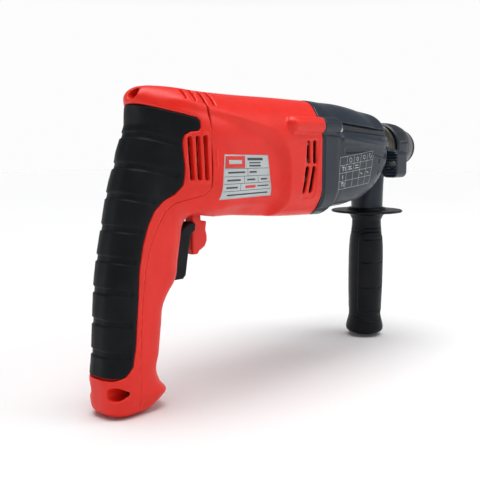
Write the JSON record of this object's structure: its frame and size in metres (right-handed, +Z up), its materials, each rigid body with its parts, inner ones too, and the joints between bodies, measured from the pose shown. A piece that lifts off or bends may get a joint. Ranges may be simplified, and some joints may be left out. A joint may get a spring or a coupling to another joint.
{
  "type": "rotary hammer",
  "caption": "Pistol-grip electric rotary hammer with a quick-change bit holder, side handle, rubber grip and a two-tone moulded casing.",
  "frame": {"origin": "centre of the bit bore's mouth, on the front face of the hammer tube", "axes": "+X forward along the bit, +Y to the operator's left, +Z up"},
  "size_m": [0.374, 0.09, 0.2195],
  "materials": {
    "red_plastic": "fine satin moulded ABS",
    "black_plastic": "fine spark-eroded grain",
    "grip_rubber": "soft matt overmould",
    "dark_steel": "blackened satin",
    "bright_steel": "ground",
    "spring_steel": "oiled",
    "cast_alloy": "as cast",
    "copper": "enamelled wire and bars",
    "laminations": "stacked sheet",
    "white_plastic": "plain",
    "label_silver": "satin film",
    "chart_film": "satin film",
    "carbon": "pressed graphite",
    "seal_rubber": "matt"
  },
  "bodies": {
    "housing": {"motor_housing": "red_plastic", "rear_cover": "red_plastic", "grip_overmould": "grip_rubber", "gearbox_housing": "black_plastic", "neck": "dark_steel", "bearing_plate": "cast_alloy", "stator_core": "laminations", "field_coils": "copper", "baffle_ring": "black_plastic", "armature_front_bearing": "bright_steel", "armature_rear_bearing": "bright_steel", "intermediate_front_bearing": "bright_steel", "intermediate_rear_bearing": "bright_steel", "spindle_front_bearing": "bright_steel", "spindle_rear_bearing": "bright_steel", "front_seal": "seal_rubber", "switch_module": "black_plastic", "cable_gland": "seal_rubber", "cable_clamp": "black_plastic", "gearbox_screws": "bright_steel", "cover_screws": "bright_steel", "rating_plate": "label_silver", "function_chart": "chart_film"},
    "armature": {"armature_shaft": "bright_steel", "rotor_core": "laminations", "armature_windings": "copper", "commutator": "copper", "fan": "white_plastic"},
    "intermediate": {"intermediate_shaft": "bright_steel", "drive_gear": "bright_steel", "wobble_hub": "bright_steel"},
    "wobble": {"wobble_ring": "bright_steel"},
    "piston": {"piston": "cast_alloy", "piston_pin": "bright_steel"},
    "striker": {"striker": "bright_steel", "striker_o_ring": "seal_rubber"},
    "impact_bolt": {"impact_bolt": "bright_steel"},
    "spindle": {"hammer_tube": "bright_steel", "spindle_gear": "bright_steel", "clutch_spring": "spring_steel", "locking_ball": "bright_steel", "dust_cap": "seal_rubber", "sleeve_spring": "spring_steel"},
    "sleeve": {"locking_sleeve": "black_plastic"},
    "trigger": {"trigger": "black_plastic"},
    "brush_bridge": {"brush_plate": "black_plastic", "brush_holders": "copper", "carbon_brushes": "carbon", "direction_lever": "red_plastic"},
    "lock_button": {"lock_button": "red_plastic"},
    "mode_knob": {"mode_knob": "black_plastic"},
    "side_collar": {"side_handle_collar": "black_plastic", "clamp_band": "bright_steel"},
    "side_grip": {"side_handle_core": "black_plastic", "side_handle_grip": "grip_rubber", "clamp_bolt": "bright_steel"}
  },
  "joints": [
    {"name": "armature_spin", "type": "hinge", "parent": "housing", "child": "armature", "pos_m": [-0.225, 0, -0.008], "axis": [1, 0, 0], "continuous": true},
    {"name": "intermediate_spin", "type": "hinge", "parent": "housing", "child": "intermediate", "pos_m": [-0.12, 0, -0.029], "axis": [1, 0, 0], "continuous": true},
    {"name": "spindle_spin", "type": "hinge", "parent": "housing", "child": "spindle", "pos_m": [0, 0, 0], "axis": [1, 0, 0], "continuous": true},
    {"name": "wobble_rock", "type": "hinge", "parent": "housing", "child": "wobble", "pos_m": [-0.132, 0, -0.029], "axis": [0, 1, 0], "range_deg": [-14, 14]},
    {"name": "piston_stroke", "type": "slide", "parent": "housing", "child": "piston", "axis": [1, 0, 0], "range_m": [-0.0071, 0.0071]},
    {"name": "striker_flight", "type": "slide", "parent": "piston", "child": "striker", "axis": [1, 0, 0], "range_m": [-0.002, 0.003]},
    {"name": "bolt_float", "type": "slide", "parent": "spindle", "child": "impact_bolt", "axis": [1, 0, 0], "range_m": [-0.002, 0.002]},
    {"name": "sleeve_pull", "type": "slide", "parent": "spindle", "child": "sleeve", "axis": [-1, 0, 0], "range_m": [0, 0.005], "stiffness_N_per_m": 600, "deforming": ["sleeve_spring"]},
    {"name": "trigger_pull", "type": "slide", "parent": "housing", "child": "trigger", "axis": [-1, 0, 0], "range_m": [0, 0.006], "stiffness_N_per_m": 500},
    {"name": "direction_swing", "type": "hinge", "parent": "housing", "child": "brush_bridge", "pos_m": [-0.28, 0, -0.008], "axis": [1, 0, 0], "range_deg": [-12, 12]},
    {"name": "lock_press", "type": "slide", "parent": "housing", "child": "lock_button", "axis": [0, -1, 0], "range_m": [0, 0.0025], "stiffness_N_per_m": 400},
    {"name": "mode_turn", "type": "hinge", "parent": "housing", "child": "mode_knob", "pos_m": [-0.122, 0.039, -0.022], "axis": [0, 1, 0], "range_deg": [-90, 90]},
    {"name": "side_handle_swivel", "type": "hinge", "parent": "housing", "child": "side_collar", "pos_m": [-0.056, 0, 0], "axis": [1, 0, 0], "continuous": true},
    {"name": "side_grip_turn", "type": "hinge", "parent": "side_collar", "child": "side_grip", "pos_m": [-0.056, 0, -0.058], "axis": [0, 0, 1], "continuous": true}
  ],
  "couplings": [
    {"joint": "intermediate_spin", "follows": "armature_spin", "ratio": -0.27273},
    {"joint": "spindle_spin", "follows": "armature_spin", "ratio": 0.090909},
    {"joint": "piston_stroke", "follows": "wobble_rock", "m_per_rad": 0.029}
  ]
}
